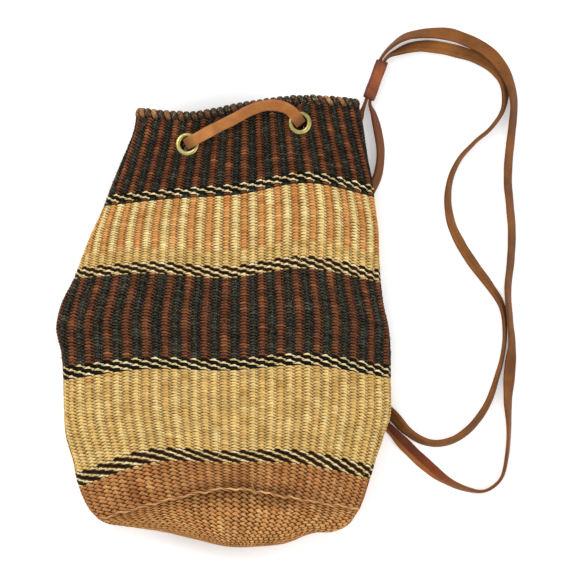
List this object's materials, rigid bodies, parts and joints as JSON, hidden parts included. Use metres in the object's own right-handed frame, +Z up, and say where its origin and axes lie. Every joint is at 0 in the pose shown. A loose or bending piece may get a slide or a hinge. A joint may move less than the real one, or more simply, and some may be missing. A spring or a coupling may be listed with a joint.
{
  "type": "woven straw drawstring backpack",
  "caption": "Striped woven straw bucket backpack lying on its back, with a rolled rim, brass eyelets and a leather drawstring strap in a loose loop.",
  "frame": {"origin": "on the floor, under the middle of the bag as it lies on its back, the strap left out", "axes": "+X to the bag's right as seen from above, +Y along the bag towards its mouth, +Z up from the floor through the bag's front"},
  "size_m": [0.3914, 0.4405, 0.0578],
  "materials": {
    "straw": "twined straw fibre, banded in straw yellow, tan, dark green-grey and red-brown",
    "rim": "rolled and whipped straw edge, mixed tan, black and brown",
    "brass": "worn brass",
    "strap_leather": "brown leather with a lighter suede side",
    "keeper_leather": "smooth orange-brown leather"
  },
  "bodies": {
    "root": {"woven_body": "straw", "rim_binding": "rim", "eyelet_front_left": "brass", "eyelet_front_right": "brass", "eyelet_back_left": "brass", "eyelet_back_right": "brass", "strap_thong": "strap_leather", "strap_keeper": "keeper_leather", "strap_anchor": "strap_leather"}
  },
  "joints": []
}
